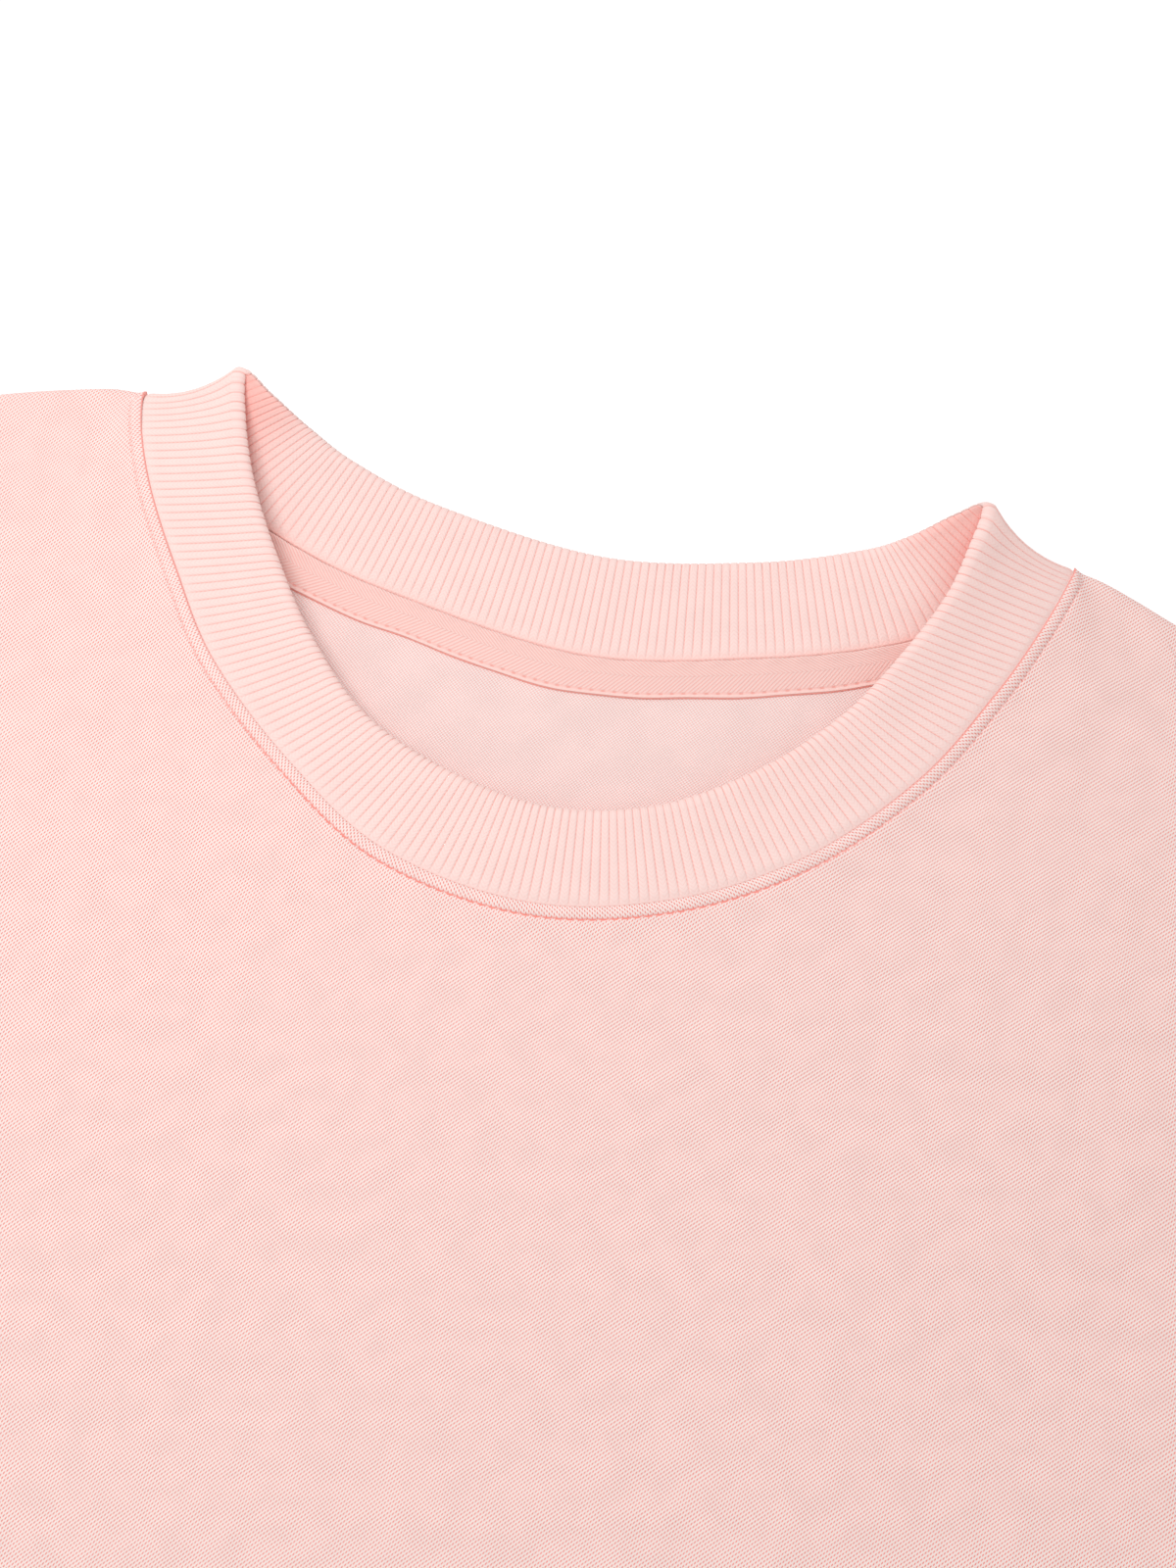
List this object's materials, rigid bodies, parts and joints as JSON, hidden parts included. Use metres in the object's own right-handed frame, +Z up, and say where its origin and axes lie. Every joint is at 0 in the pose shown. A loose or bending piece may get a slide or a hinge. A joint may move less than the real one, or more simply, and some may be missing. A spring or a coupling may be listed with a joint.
{
  "type": "crewneck sweatshirt laid flat",
  "caption": "Pale pink crewneck sweatshirt laid flat on its back, with long sleeves, ribbed collar, cuffs and hem band, and a tape over the back neck seam.",
  "frame": {"origin": "on the surface it lies on, under the middle of its bounding box", "axes": "+X to the wearer's left along the outspread sleeves, +Y from the hem to the collar, +Z up out of the front"},
  "size_m": [1.4518, 0.6558, 0.0176],
  "materials": {
    "knit": "matt fleece-backed knit, pale pink",
    "rib": "matt 1x1 rib, pale pink",
    "twill": "herringbone twill tape, pink"
  },
  "bodies": {
    "root": {"front_body": "knit", "back_body": "knit", "sleeve_left": "knit", "sleeve_right": "knit", "cuff_left": "rib", "cuff_right": "rib", "hem_band": "rib", "collar": "rib", "neck_tape": "twill"}
  },
  "joints": []
}
